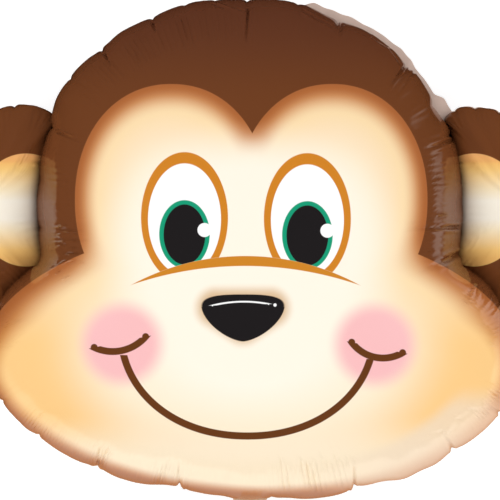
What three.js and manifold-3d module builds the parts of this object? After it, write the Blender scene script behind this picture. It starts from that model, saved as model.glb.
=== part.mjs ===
// Monkey-head foil balloon, inflated and lying on its back with the face up.
// Two foil sheets are heat-sealed round one outline: a head with a domed top and wide
// cheeks, a round ear on each side, a flat sealed border and a filling tail under the chin.
// Millimetres. +X is the viewer's right, +Y the top of the head, +Z up, out of the face.
import * as THREE from 'three';
import { mergeVertices } from 'three/addons/utils/BufferGeometryUtils.js';
import Module from 'manifold-3d';

const wasm = await Module();
wasm.setup();

// The head's seam is the smooth union of two superellipses, and each ear's is an ellipse
// cut off by the head. Their places are measured from the middle of the face.
const DOME = { x: 0, y: 54, halfWidth: 261, halfTop: 252, halfBottom: 252, power: 2.2 };
const JAW = { x: 0, y: -122, halfWidth: 328, halfTop: 182, halfBottom: 180, power: 1.9 };
const EAR = { x: 282, y: 51, halfWidth: 114, halfTop: 122, halfBottom: 122, power: 2 };
const HEAD_CENTRE = [0, -22];
const EAR_CENTRE = [328, 50];
const UNION_SOFTNESS = 0.05;
const EAR_OVERLAP = 8;

// Away from the seam the surface follows an outline eased over this share of its length.
const EASING_SHARE = 0.09;
const EASING_POWER = 3;

const HEAD_THICKNESS = 305;
const EAR_THICKNESS = 98;
const FLAT_SPOT_DEPTH = 3;

const BORDER_WIDTH = 9;
const FOIL_EDGE = 1.2;

// The seam gathers into scallops, one between each pair of pinches.
const SCALLOP_LENGTH = 52;
const COLUMNS_PER_SCALLOP = 4;
const SCALLOP_DEPTH = 4.5;
const PINCH_DEPTH = 6;
const PINCH_REACH = 0.42;
const SEAM_WAVE = 1.5;

const HEAD_ROWS = 9;
const EAR_ROWS = 6;
const ROW_SPREAD = 1.6;
const PROFILE_STEPS = 64;

const TAIL = { rootWidth: 54, neckWidth: 34, endWidth: 38, neckLength: 22, length: 86, overlap: 24 };
const TAIL_STATIONS = 8;

const FOIL_BROWN = 0x6a3a1f;

const smoothMin = (a, b, softness) => {
  const h = Math.max(softness - Math.abs(a - b), 0) / softness;
  return Math.min(a, b) - (h * h * softness) / 4;
};

// 1 on the superellipse, less inside it, growing in proportion to the distance from its middle.
function gauge(shape, x, y) {
  const half = y > shape.y ? shape.halfTop : shape.halfBottom;
  const u = Math.abs((x - shape.x) / shape.halfWidth) ** shape.power;
  const v = Math.abs((y - shape.y) / half) ** shape.power;
  return (u + v) ** (1 / shape.power);
}

const headGauge = (x, y) => smoothMin(gauge(DOME, x, y), gauge(JAW, x, y), UNION_SOFTNESS);

const shrunkenHead = 1 - EAR_OVERLAP / DOME.halfWidth;
const earGauge = (x, y) =>
  -smoothMin(-gauge(EAR, x, y), headGauge(x, y) - 1 - shrunkenHead, UNION_SOFTNESS);

// Points on the outline where the gauge is 1, evenly spaced, as seen from an inner centre.
function outline(field, [cx, cy], count) {
  const fine = 8 * count;
  const points = [];
  for (let k = 0; k <= fine; k++) {
    const angle = (2 * Math.PI * k) / fine - Math.PI / 2;
    const [dx, dy] = [Math.cos(angle), Math.sin(angle)];
    let [inner, outer] = [0, 600];
    for (let step = 0; step < 40; step++) {
      const middle = (inner + outer) / 2;
      if (field(cx + dx * middle, cy + dy * middle) < 1) inner = middle;
      else outer = middle;
    }
    points.push([cx + dx * inner, cy + dy * inner]);
  }
  const travelled = [0];
  for (let k = 1; k <= fine; k++) {
    const [a, b] = [points[k - 1], points[k]];
    travelled.push(travelled[k - 1] + Math.hypot(b[0] - a[0], b[1] - a[1]));
  }
  const even = [];
  let k = 1;
  for (let j = 0; j < count; j++) {
    const target = (travelled[fine] * j) / count;
    while (travelled[k] < target) k++;
    const share = (target - travelled[k - 1]) / (travelled[k] - travelled[k - 1]);
    even.push([0, 1].map((c) => points[k - 1][c] + share * (points[k][c] - points[k - 1][c])));
  }
  return { points: even, length: travelled[fine] };
}

// The outline with its corners averaged away, over a number of neighbours on each side.
function easedOutline(points, neighbours) {
  const wrap = (j) => points[(j + points.length) % points.length];
  return points.map((_, j) => {
    const sum = [0, 0];
    for (let k = -neighbours; k <= neighbours; k++) {
      sum[0] += wrap(j + k)[0];
      sum[1] += wrap(j + k)[1];
    }
    return sum.map((v) => v / (2 * neighbours + 1));
  });
}

// The meridian of an inflated foil disc, where slope is the surface's tilt from level:
// radius = sqrt(sin slope), and the height is half the integral of sqrt(sin) up to the rim.
function meridian(slope) {
  let sum = 0;
  const step = (Math.PI / 2 - slope) / PROFILE_STEPS;
  for (let k = 0; k < PROFILE_STEPS; k++) sum += Math.sqrt(Math.sin(slope + (k + 0.5) * step));
  return { radius: Math.sqrt(Math.sin(slope)), height: (sum * step) / 2 };
}
const FULL_HEIGHT = meridian(0).height;

// A closed pillow on an outline, with its sealed border all round.
function pillow(field, centre, thickness, rows, flatSpot) {
  const rough = outline(field, centre, 200);
  const scallops = Math.round(rough.length / SCALLOP_LENGTH);
  const columns = scallops * COLUMNS_PER_SCALLOP;
  const { points } = outline(field, centre, columns);
  const eased = easedOutline(points, Math.round(EASING_SHARE * columns));
  const vertices = [];
  const floor = -thickness / 2 + flatSpot;

  const place = (j, row, side) => {
    const slope = (Math.PI / 2) * (row / rows) ** ROW_SPREAD;
    const { radius, height } = meridian(slope);
    const share = radius ** EASING_POWER;
    const [ox, oy] = [0, 1].map((c) => THREE.MathUtils.lerp(eased[j][c], points[j][c], share) - centre[c]);
    const reach = Math.hypot(ox, oy);
    const toRim = 1 - slope / (Math.PI / 2);
    const phase = (j % COLUMNS_PER_SCALLOP) / COLUMNS_PER_SCALLOP;
    const pinch = 1 - Math.abs(Math.sin(Math.PI * phase));
    const gather = pinch * Math.exp(-((toRim / PINCH_REACH) ** 2));
    const drawnIn = (SCALLOP_DEPTH * gather * Math.sin(slope)) / reach;
    const rise = (thickness / 2 - FOIL_EDGE / 2) * (height / FULL_HEIGHT);
    const dent = PINCH_DEPTH * gather * Math.min(1, (4 * rise) / thickness);
    const wave = SEAM_WAVE * Math.sin(2 * Math.PI * phase) * Math.exp(-((toRim / PINCH_REACH) ** 2));
    const z = side * (FOIL_EDGE / 2 + rise - dent) + wave;
    return [centre[0] + ox * (radius - drawnIn), centre[1] + oy * (radius - drawnIn), Math.max(z, floor)];
  };
  const borderPoint = (j, side) => {
    const [x, y, z] = place(j, rows, side);
    const [before, after] = [points[(j + columns - 1) % columns], points[(j + 1) % columns]];
    const [tx, ty] = [after[0] - before[0], after[1] - before[1]];
    const length = Math.hypot(tx, ty);
    return [x + (BORDER_WIDTH * ty) / length, y - (BORDER_WIDTH * tx) / length, z];
  };

  for (let j = 0; j < columns; j++) {
    for (let row = 1; row <= rows; row++) vertices.push(place(j, row, 1));
    vertices.push(borderPoint(j, 1), borderPoint(j, -1));
    for (let row = rows; row >= 1; row--) vertices.push(place(j, row, -1));
  }
  const perColumn = 2 * rows + 2;
  const frontPole = vertices.length;
  vertices.push([...centre, thickness / 2], [...centre, floor]);
  const triangles = [];
  for (let j = 0; j < columns; j++) {
    const a = j * perColumn;
    const b = ((j + 1) % columns) * perColumn;
    triangles.push([frontPole, a, b], [frontPole + 1, b + perColumn - 1, a + perColumn - 1]);
    for (let k = 0; k < perColumn - 1; k++) {
      triangles.push([a + k, a + k + 1, b + k + 1], [a + k, b + k + 1, b + k]);
    }
  }
  return solid(vertices, triangles);
}

// The filling tail: a flat tongue of the same two sheets, with a narrow neck.
function tail(rootY) {
  const vertices = [];
  for (let k = 0; k <= TAIL_STATIONS; k++) {
    const along = -TAIL.overlap + ((TAIL.length + TAIL.overlap) * k) / TAIL_STATIONS;
    const narrowing = THREE.MathUtils.smoothstep(along, -TAIL.overlap, TAIL.neckLength);
    const flare = THREE.MathUtils.smoothstep(along, TAIL.neckLength, TAIL.length);
    const width = THREE.MathUtils.lerp(TAIL.rootWidth, TAIL.neckWidth, narrowing)
      + (TAIL.endWidth - TAIL.neckWidth) * flare;
    for (const [sx, sz] of [[-1, -1], [1, -1], [1, 1], [-1, 1]]) {
      vertices.push([(sx * width) / 2, rootY - along, (sz * FOIL_EDGE) / 2]);
    }
  }
  const triangles = [[0, 2, 1], [0, 3, 2]];
  for (let k = 0; k < TAIL_STATIONS; k++) {
    for (let c = 0; c < 4; c++) {
      const [a, b] = [4 * k + c, 4 * k + ((c + 1) % 4)];
      triangles.push([a, b, b + 4], [a, b + 4, a + 4]);
    }
  }
  const end = 4 * TAIL_STATIONS;
  triangles.push([end, end + 1, end + 2], [end, end + 2, end + 3]);
  return solid(vertices, triangles);
}

// A closed triangle mesh as a solid, its faces turned to point out.
function solid(vertices, triangles) {
  const geometry = new THREE.BufferGeometry();
  geometry.setAttribute('position', new THREE.Float32BufferAttribute(vertices.flat(), 3));
  geometry.setIndex(triangles.flat());
  const merged = mergeVertices(geometry);
  const mesh = (index) => new wasm.Mesh({
    numProp: 3,
    vertProperties: new Float32Array(merged.attributes.position.array),
    triVerts: new Uint32Array(index),
  });
  const body = new wasm.Manifold(mesh(merged.index.array));
  if (body.volume() > 0) return body;
  return new wasm.Manifold(mesh(Array.from(merged.index.array).reverse()));
}

function toGeometry(body) {
  const { vertProperties, triVerts } = body.getMesh();
  const geometry = new THREE.BufferGeometry();
  geometry.setAttribute('position', new THREE.Float32BufferAttribute(vertProperties, 3));
  geometry.setIndex(Array.from(triVerts));
  geometry.computeVertexNormals();
  return geometry;
}

const mirrored = ([x, y]) => [-x, y];
const chin = JAW.y - JAW.halfBottom;
const head = pillow(headGauge, HEAD_CENTRE, HEAD_THICKNESS, HEAD_ROWS, FLAT_SPOT_DEPTH);
const rightEar = pillow(earGauge, EAR_CENTRE, EAR_THICKNESS, EAR_ROWS, 0);
const leftEar = pillow((x, y) => earGauge(-x, y), mirrored(EAR_CENTRE), EAR_THICKNESS, EAR_ROWS, 0);
// Joining can close tiny pockets in the grooves beside the ears, so only the outer skin is kept.
const joined = head.add(rightEar).add(leftEar).add(tail(chin));
const envelope = joined.decompose().reduce((a, b) => (a.volume() > b.volume() ? a : b));

const balloon = new THREE.Mesh(
  toGeometry(envelope),
  new THREE.MeshStandardMaterial({ color: FOIL_BROWN, roughness: 0.35, metalness: 0.3 }),
);
balloon.name = 'foil_envelope';

// The origin is under the middle of the bounding box, on the surface the balloon lies on.
const { min, max } = envelope.boundingBox();
balloon.position.set(-(min[0] + max[0]) / 2, -(min[1] + max[1]) / 2, -min[2]);

const group = new THREE.Group();
group.add(balloon);
export default group;
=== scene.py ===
"""A monkey-head foil balloon, inflated and lying on its back with the face up.

Two printed foil sheets are sealed to each other round one outline. The script inflates that
outline into one closed, wrinkled skin, prints the face on it and sets it in a plain studio.
The shape is worked out in millimetres, from the middle of the face, and is then moved into
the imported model's frame in metres. Places that were read off the photograph are in pixels of
its 500 by 500 frame.
"""

import math
from functools import partialmethod

import bpy
import numpy as np
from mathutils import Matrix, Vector


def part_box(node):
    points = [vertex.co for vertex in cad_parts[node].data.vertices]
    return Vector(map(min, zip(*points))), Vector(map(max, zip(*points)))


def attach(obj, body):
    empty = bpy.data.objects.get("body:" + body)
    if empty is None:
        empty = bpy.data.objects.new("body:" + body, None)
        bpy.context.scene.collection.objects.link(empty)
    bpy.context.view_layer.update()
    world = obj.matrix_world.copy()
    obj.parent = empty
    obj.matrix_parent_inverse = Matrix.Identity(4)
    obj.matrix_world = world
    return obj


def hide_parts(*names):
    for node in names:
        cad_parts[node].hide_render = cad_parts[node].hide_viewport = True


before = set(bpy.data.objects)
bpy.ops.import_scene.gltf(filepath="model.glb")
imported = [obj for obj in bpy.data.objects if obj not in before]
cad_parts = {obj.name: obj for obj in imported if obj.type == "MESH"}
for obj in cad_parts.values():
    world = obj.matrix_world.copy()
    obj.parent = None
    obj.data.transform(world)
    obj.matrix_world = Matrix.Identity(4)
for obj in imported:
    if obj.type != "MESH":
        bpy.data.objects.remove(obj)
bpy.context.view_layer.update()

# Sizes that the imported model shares, in millimetres
DOME = {"x": 0, "y": 54, "half_width": 261, "half_top": 252, "half_bottom": 252, "power": 2.2}
JAW = {"x": 0, "y": -122, "half_width": 328, "half_top": 182, "half_bottom": 180, "power": 1.9}
EAR = {"x": 282, "y": 51, "half_width": 114, "half_top": 122, "half_bottom": 122, "power": 2}
HEAD_CENTRE = (0, -22)
EAR_CENTRE = (328, 50)
UNION_SOFTNESS = 0.05
EAR_OVERLAP = 8
EASING_SHARE = 0.09
EASING_POWER = 3
HEAD_THICKNESS = 305
EAR_THICKNESS = 98
FLAT_SPOT_DEPTH = 3
BORDER_WIDTH = 9
TAIL = {"root_width": 54, "neck_width": 34, "end_width": 38, "neck": 22, "length": 86, "overlap": 24}
CHIN = JAW["y"] - JAW["half_bottom"]

# The photograph: its middle pixel, the real size of one pixel at the height of the seam, and
# the distance it is taken from, over which a pixel shrinks to nothing
PHOTO_MIDDLE = 250
SEAM_PIXEL = 1.225
VIEWING_DISTANCE = 5000

# From the drawing's millimetres to the frame's metres
MM = 0.001
SEAM_HEIGHT = HEAD_THICKNESS / 2 - FLAT_SPOT_DEPTH
DRAWING_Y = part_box("foil_envelope")[0].y / MM - (CHIN - TAIL["length"])


def from_photo(pixel):
    """A place in the photograph, in millimetres from the middle of the face."""
    return np.array([pixel[0] - PHOTO_MIDDLE, PHOTO_MIDDLE - pixel[1]]) * SEAM_PIXEL


# The outline


def smooth_min(a, b, softness):
    h = np.maximum(softness - np.abs(a - b), 0) / softness
    return np.minimum(a, b) - h * h * softness / 4


def gauge(shape, x, y):
    """0 in the middle of a superellipse and 1 on its outline."""
    half = np.where(y > shape["y"], shape["half_top"], shape["half_bottom"])
    u = np.abs((x - shape["x"]) / shape["half_width"]) ** shape["power"]
    v = np.abs((y - shape["y"]) / half) ** shape["power"]
    return (u + v) ** (1 / shape["power"])


def head_gauge(x, y):
    return smooth_min(gauge(DOME, x, y), gauge(JAW, x, y), UNION_SOFTNESS)


def ear_gauge(x, y):
    outside_head = head_gauge(x, y) - 1 - (1 - EAR_OVERLAP / DOME["half_width"])
    return -smooth_min(-gauge(EAR, x, y), outside_head, UNION_SOFTNESS)


def smooth_step(value, low, high):
    held = np.clip((value - low) / (high - low), 0, 1)
    return held * held * (3 - 2 * held)


def wrapped(distance, length):
    """A distance along a closed line, taken the short way round."""
    return (distance + length / 2) % length - length / 2


class Seam:
    """The closed line where the two sheets meet. Its points stand closer where the foil is busy."""

    FURTHEST = 600
    BISECTIONS = 40
    FINE = 12000
    WAVE_LINES = 24
    WAVE_SCALE = 0.7

    def __init__(self, field, centre, count, busy=(), shifts=(), square=None):
        angle = 2 * np.pi * np.arange(self.FINE + 1) / self.FINE - np.pi / 2
        dx, dy = np.cos(angle), np.sin(angle)
        inner = np.zeros(self.FINE + 1)
        outer = np.full(self.FINE + 1, float(self.FURTHEST))
        for _ in range(self.BISECTIONS):
            middle = (inner + outer) / 2
            inside = field(centre[0] + dx * middle, centre[1] + dy * middle) < 1
            inner = np.where(inside, middle, inner)
            outer = np.where(inside, outer, middle)
        x, y = centre[0] + dx * inner, centre[1] + dy * inner
        gone = np.concatenate([[0], np.cumsum(np.hypot(np.diff(x), np.diff(y)))])
        self.length = gone[-1]
        self.count = count
        self.square = square
        self.centre = np.array(centre, float)
        self.travel = self.length * np.arange(self.FINE) / self.FINE
        self.points = np.stack([np.interp(self.travel, gone, x), np.interp(self.travel, gone, y)], 1)
        tangent = np.roll(self.points, -1, 0) - np.roll(self.points, 1, 0)
        tangent /= np.linalg.norm(tangent, axis=1)[:, None]
        outward = np.stack([tangent[:, 1], -tangent[:, 0]], 1)
        moved = np.zeros(self.FINE)
        for start, end, amount in shifts:
            moved += amount * stretch(self, start, end, SHIFT_TURN / 2, SHIFT_TURN / 2)
        self.points += outward * moved[:, None]
        reach = round(EASING_SHARE * self.FINE)
        kernel = np.zeros(self.FINE)
        kernel[: reach + 1] = 1
        kernel[-reach:] = 1
        spectrum = np.fft.fft(kernel / kernel.sum())
        eased = [np.fft.ifft(np.fft.fft(self.points[:, c]) * spectrum).real for c in (0, 1)]
        density = np.ones(self.FINE)
        for start, end, margin, times in busy:
            closer = 1 + (times - 1) * stretch(self, start, end, margin)
            density = np.maximum(density, closer)
        crowd = np.concatenate([[0], np.cumsum(density)])
        spread = np.interp(np.arange(count) / count * crowd[-1], crowd, np.arange(self.FINE + 1))
        around = np.arange(self.FINE + 1)
        columns = []
        for fine in (self.points, outward, np.stack(eased, 1)):
            fine = np.concatenate([fine, fine[:1]])
            columns.append(np.stack([np.interp(spread, around, fine[:, c]) for c in (0, 1)], 1))
        self.travel = spread * self.length / self.FINE
        self.points, self.outward, self.eased = columns
        self.tangent = np.stack([-self.outward[:, 1], self.outward[:, 0]], 1)

    def at(self, pixel):
        """How far along the seam the point nearest to a place in the photograph is."""
        apart = np.linalg.norm(self.points - from_photo(pixel), axis=1)
        return self.travel[np.argmin(apart)]

    def wave(self, shortest, longest, rng):
        """A smooth random wave along the seam, mostly within -1 to 1."""
        fewest, most = round(self.length / longest), round(self.length / shortest)
        turns = rng.integers(fewest, most + 1, self.WAVE_LINES)
        phases = rng.uniform(0, 2 * np.pi, self.WAVE_LINES)
        angle = 2 * np.pi * self.travel[:, None] / self.length * turns + phases
        return np.cos(angle).sum(1) * math.sqrt(2 / self.WAVE_LINES) * self.WAVE_SCALE

    def waves(self, parts, rng):
        """Waves added up. Each part is a height, the shortest wave and the longest."""
        return sum(height * self.wave(*ends, rng) for height, *ends in parts)


# The cross-section of an inflated foil pillow. Its slope runs from 0 in the middle to a
# quarter turn at the seam, where its radius is 1.
PROFILE_POINTS = 4097
share = np.linspace(0, 1, PROFILE_POINTS)
SLOPE = np.pi / 2 * share**2
middle_share = (share[1:] + share[:-1]) / 2
middle_sine = np.sin(np.pi / 2 * middle_share**2)
slope_step = np.pi * middle_share * np.diff(share)
from_middle = np.concatenate([[0], np.cumsum(slope_step / (2 * np.sqrt(middle_sine)))])
climbed = np.concatenate([[0], np.cumsum(slope_step * np.sqrt(middle_sine) / 2)])
RUN = from_middle[-1] - from_middle
RISE = climbed[-1] - climbed

# Wrinkles, in millimetres, with their places read off the photograph. A wave is given by its
# height, its shortest length and its longest.
FOIL_EDGE = 0.6
SEAM_WAVE = 1.4
SEAM_WAVES = ((0.7, 16, 60), (0.5, 60, 160))
SEAM_WAVE_REACH = 14
LOBE_SWELL = 0.034
LOBE_PEAK = 0.22
LOBE_ROUNDNESS = 0.7
PINCH_WIDTH = 2.6
PINCH_SPREAD = 1.4
VALLEY_POWER = 1.3
TUCKS_APART = 13
TUCK_SCATTER = 0.4
TUCK_PULL = (0.1, 0.8)
TUCK_SHARE = (0.4, 1)
TUCK_REACH = (9, 26)
PLEAT_DRIFT = (1.3, 40, 130)
PLEAT_UNEVEN = ((0.45, 25, 80), (0.22, 9, 30), (0.25, 12, 40))
PLEAT_SKEW = 0.3
PLEAT_SKEW_TURN = 1
PLEAT_ROW_POWER = 8
PLEAT_RISE = (-4, 6)
PLEAT_FALL = (-10, 6)
CREASE_TAPER = 0.7
CREASE_SHOULDER = {"height": 0.3, "out": 2.2}
SWELL_TURN = 60
FAINT_PLEATS = {"apart": 9, "height": 0.07, "near": 3, "far": 34}
UNDULATION = {"shortest": 34, "longest": 110, "height": 0.7, "peak": 45}

# Deep gathers of the head's seam: place, how far it is drawn in, how far the crease runs
HEAD_PINCHES = [
    ((247, 4), 3.2, 40), ((298, 5), 2, 26), ((337, 24), 3, 34), ((406, 67), 3.4, 40),
    ((438, 104), 1.6, 24), ((453, 136), 6, 40), ((463, 182), 1.2, 30), ((465, 228), 2.2, 50),
    ((466, 262), 3, 45), ((500, 302), 2.4, 30), ((517, 350), 2.4, 34), ((502, 400), 2.6, 34),
    ((451, 446), 2.8, 36), ((355, 484), 3.6, 46), ((272, 497), 1.8, 34), ((178, 491), 4, 46),
    ((98, 464), 3, 42), ((40, 433), 2.6, 32), ((3, 400), 2.4, 30), ((-16, 350), 2.4, 34),
    ((0, 306), 2.4, 30), ((36, 262), 3, 45), ((36, 228), 2.2, 50), ((38, 180), 1.2, 30),
    ((52, 128), 4.5, 40), ((70, 79), 2, 22), ((105, 54), 3, 30), ((153, 20), 3, 30),
    ((186, 9), 1.6, 20), ((215, 4), 1.2, 18),
]

# Rows of fine pleats on the front: from one place on the seam to the other, how far apart the
# pleats are and their height, and from how many pixels inside the seam to how many they run
HEAD_PLEATS = [
    ((232, 6), (108, 50), 8.2, 0.5, 12, 44), ((104, 54), (66, 88), 8.2, 0.35, 10, 36),
    ((40, 222), (37, 262), 7.6, 0.8, 22, 46), ((41, 150), (38, 222), 8.2, 0.14, 14, 40),
    ((457, 146), (464, 262), 7.7, 0.5, 21, 38), ((300, 6), (335, 22), 6.0, 0.35, 3, 12),
    ((409, 69), (440, 108), 11, 0.25, 8, 26), ((20, 420), (78, 456), 4.6, 0.45, 4, 22),
    ((86, 459), (108, 469), 4.6, 0.7, 3, 26), ((108, 470), (146, 483), 7, 0.3, 3, 14),
    ((148, 484), (178, 491), 4.8, 0.7, 3, 24), ((276, 497), (352, 485), 6.4, 0.8, 9, 38),
    ((184, 491), (262, 497), 7, 0.3, 6, 28), ((481, 424), (504, 396), 4.6, 0.8, 9, 24),
    ((500, 305), (517, 345), 7, 0.55, 8, 34), ((0, 306), (-16, 345), 7, 0.45, 8, 34),
]

# Single creases on the front: from one end to the other, then depth and width. A negative
# depth is a ridge.
HEAD_CREASES = [
    ((153, 24), (156, 34), 3.4, 1.3), ((105, 55), (112, 68), 3.4, 1.3),
    ((248, 12), (246, 44), 3.4, 1.3), ((218, 5), (246, 17), -1.3, 1.2),
    ((213, 5), (222, 9), 1.2, 1.2), ((339, 24), (336, 40), -1.6, 1.2),
    ((342, 26), (339, 38), 1.6, 1.2), ((304, 13), (334, 29), 1.2, 1.1),
    ((302, 16), (332, 33), -1.2, 1.2), ((371, 40), (388, 51), 1.6, 1.3),
    ((388, 51), (401, 67), 1.6, 1.3), ((409, 66), (388, 92), -2.0, 1.4),
    ((404, 67), (390, 86), 2.0, 1.4), ((414, 72), (396, 96), 1.6, 1.4),
    ((453, 137), (424, 147), -1.3, 2.2), ((452, 141), (422, 151), 2.0, 2.2),
    ((449, 146), (420, 154), -1.1, 2.2), ((59, 131), (88, 142), -1.5, 1.2),
    ((60, 134), (86, 145), 1.2, 1.2), ((457, 254), (416, 271), 2.8, 2.8),
    ((456, 249), (430, 261), -1.2, 2.6), ((60, 270), (80, 279), 2.4, 1.2),
    ((62, 227), (88, 229), -1.4, 1.2), ((62, 235), (84, 236), -1.3, 1.2),
    ((64, 242), (84, 243), -1.3, 1.2), ((66, 249), (84, 250), -1.2, 1.2),
    ((68, 256), (82, 256), -1.0, 1.2), ((456, 224), (402, 226), -1.3, 2.2),
    ((456, 227.5), (404, 229), 2.2, 2.4), ((456, 231), (402, 232), -1.1, 2.2),
    ((179, 490), (180, 458), 2.6, 1.5), ((184, 489), (185, 462), -1.4, 1.6),
    ((353, 486), (351, 452), 2.8, 1.4), ((349, 484), (346, 456), -1.2, 1.4),
    ((450, 446), (439, 428), 2.2, 2.0), ((503, 414), (482, 402), 3.0, 1.8),
    ((441, 428), (451, 412), -1.1, 2), ((451, 412), (464, 402), -1.1, 2),
    ((464, 402), (481, 402), -1.1, 2), ((444, 430), (455, 415), 0.7, 1.5),
    ((455, 415), (468, 405), 0.7, 1.5), ((439, 427), (412, 433), 1.0, 1.6),
    ((474, 284), (458, 311), -1.8, 1.8), ((470, 287), (455, 308), 1.8, 1.6),
    ((479, 290), (466, 311), -1.6, 1.8), ((489, 297), (474, 314), -1.6, 1.8),
    ((497, 306), (487, 318), -1.6, 1.8), ((68, 182), (73, 226), -1.0, 1.1),
    ((57, 150), (61, 212), -0.8, 1.1), ((98, 463), (102, 440), 1.8, 1.4),
]

# Where the outline swells or draws in, from one place to the other, in millimetres outwards
SHIFT_TURN = 44
HEAD_SHIFTS = [
    ((314, 7), (444, 118), -7.5), ((440, 104), (452, 132), -4), ((392, 474), (508, 388), 5.5),
    ((84, 62), (52, 108), 4.5), ((150, 484), (236, 496), -5), ((166, 12), (220, 1), 2.5),
]
EAR_SHIFTS = {
    -1: [((2, 108), (50, 106), 4.5)],
    1: [((448, 118), (476, 108), 4), ((439, 119), (450, 136), -8)],
}

# Broad swellings of the front: from one place to the other, height and how far inside the seam
HEAD_SWELLS = [
    ((330, 489), (500, 402), 6, 50),
    ((210, 494), (330, 489), 3, 50),
]

# The stretches of the head's seam where its points stand closer: from, to, the margin in
# millimetres, how many times closer
HEAD_BUSY = [
    ((232, 6), (70, 84), 10, 1.7), ((36, 264), (42, 146), 10, 1.7),
    ((457, 140), (464, 264), 10, 2.0), ((300, 6), (440, 108), 10, 1.5),
    ((18, 418), (186, 491), 10, 2.4), ((268, 497), (356, 484), 10, 2.2),
    ((450, 446), (506, 392), 10, 2.2),
]
PINCH_BUSY = {"margin": 9, "times": 2.8}

# Gathers round an ear's seam. Pleats beside the gathers: half the row's length, then as above
EAR_PINCHES_APART = 36
EAR_PINCH_SCATTER = 0.3
EAR_PINCH_PULL = (1.4, 3)
EAR_PINCH_REACH = (16, 34)
EAR_PLEATS = (30, 8, 0.3, 3, 30)
BACK_PLEATS = (55, 10, 0.4, 3, 40)
EAR_CREASE = {"height": 164, "from": 22, "to": 42, "depth": 1.6, "width": 1.8}

# Where the sealed border lies out flat, by the photograph, and where it is wider, in
# millimetres. It is folded back elsewhere.
BORDER_FLAT = ((320, 10), (456, 140))
BORDER_WIDER = [((412, 71), (432, 92), -3.5), ((440, 104), (453, 134), 7)]
BORDER_FOLD = math.radians(112)
BORDER_TURN = 30
BORDER_RINGS = (0.0, 1.2, 3.0, 6.0, 9.0)
BORDER_STEPS = 24
BORDER_CURL = 1.8
BORDER_LEAST = 0.4
BORDER_RIPPLE = 0.5
BORDER_RIPPLES = ((1, 14, 50), (0.8, 50, 140))
BORDER_UNEVEN = ((0.06, 20, 90),)
HEAD_BORDER_OUTSIDE_EARS = (0.93, 1.02)
EAR_BORDER_OUTSIDE_HEAD = (0.97, 1.03)


def between(seam, start, end):
    """The middle and half the length of a stretch of the seam."""
    first, last = seam.at(start), seam.at(end)
    step = wrapped(last - first, seam.length)
    return first + step / 2, abs(step) / 2


def stretch(seam, start, end, past, within=0):
    """1 from one place on the seam to the other and 0 past its ends, smooth between."""
    middle, half = between(seam, start, end)
    gap = np.abs(wrapped(seam.travel - middle, seam.length))
    return 1 - smooth_step(gap, half - within, half + past)


def pinches_relief(seam, run, along, pinches):
    """Valleys that run in from the places where the sheets are gathered most."""
    total = np.zeros(along.shape)
    for place, pull, reach in pinches:
        gap = wrapped(along - place, seam.length)
        width = PINCH_WIDTH * (1 + PINCH_SPREAD * run / reach)
        valley = np.exp(-np.abs(gap / width[:, None]) ** VALLEY_POWER)
        total -= pull * valley * np.exp(-((run / reach) ** 2))[:, None]
    return total


def lobes_relief(seam, run, pinches):
    """The soft swellings between one gather and the next."""
    places = np.sort([place % seam.length for place, _, _ in pinches])
    edges = np.concatenate([[places[-1] - seam.length], places, [places[0] + seam.length]])
    index = np.searchsorted(edges, seam.travel, side="right") - 1
    span = edges[index + 1] - edges[index]
    arch = np.sin(np.pi * (seam.travel - edges[index]) / span) ** LOBE_ROUNDNESS
    depth = run[:, None] / (LOBE_PEAK * span)
    return LOBE_SWELL * span * arch * depth * np.exp(1 - depth)


def tucks(seam, rng):
    """Small random gathers between the deep ones."""
    count = round(seam.length / TUCKS_APART)
    scatter = rng.uniform(-TUCK_SCATTER, TUCK_SCATTER, count)
    places = (np.arange(count) + scatter) * seam.length / count
    pulls = rng.uniform(*TUCK_PULL, count) * rng.uniform(*TUCK_SHARE, count)
    return list(zip(places, pulls, rng.uniform(*TUCK_REACH, count)))


def pleats_relief(seam, inset, along, pleats, rng):
    """Rows of fine pleats that run across the slope beside the seam."""
    drift = seam.waves([PLEAT_DRIFT], rng)
    swell, longer, later = (1 + seam.waves([part], rng) for part in PLEAT_UNEVEN)
    total = np.zeros(inset.shape)
    for middle, half, apart, height, near, far in pleats:
        phase = 2 * np.pi * along / apart + drift
        ridge = np.cos(phase) + PLEAT_SKEW * np.cos(2 * phase + PLEAT_SKEW_TURN)
        gap = np.abs(wrapped(along - middle, seam.length))
        window = 1 / (1 + (gap / half) ** PLEAT_ROW_POWER)
        start = near * SEAM_PIXEL * later
        end = far * SEAM_PIXEL * longer
        rise = smooth_step(inset, *(start + edge for edge in PLEAT_RISE))
        fall = 1 - smooth_step(inset, *(end + edge for edge in PLEAT_FALL))
        total += height * swell * ridge * window * rise * fall
    return total


def undulation(seam, run, rng):
    """Broad, faint waves that run in from the seam."""
    depth = run / UNDULATION["peak"]
    lift = depth * np.exp(1 - depth)
    wave = seam.wave(UNDULATION["shortest"], UNDULATION["longest"], rng)
    return UNDULATION["height"] * wave * lift[:, None]


def swells_relief(seam, run, swells):
    """Broad swellings beside stretches of the seam."""
    total = np.zeros((len(run), seam.count))
    for start, end, height, peak in swells:
        depth = (run / peak)[:, None]
        total += height * stretch(seam, start, end, SWELL_TURN) * depth * np.exp(1 - depth)
    return total


def creases_relief(x, y, creases):
    """Single creases and ridges between two places, as the drop along the normal."""
    total = np.zeros_like(x)
    for start, end, depth, width in creases:
        first, last = from_photo(start), from_photo(end)
        step = last - first
        along = ((x - first[0]) * step[0] + (y - first[1]) * step[1]) / (step @ step)
        held = np.clip(along, 0, 1)
        apart = np.hypot(x - first[0] - held * step[0], y - first[1] - held * step[1])
        taper = 1 - CREASE_TAPER * held
        beside = (apart - CREASE_SHOULDER["out"] * width) / width
        shoulder = CREASE_SHOULDER["height"] * np.exp(-(beside**2))
        total -= depth * taper * (np.exp(-((apart / width) ** 2)) - shoulder)
    return total


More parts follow.
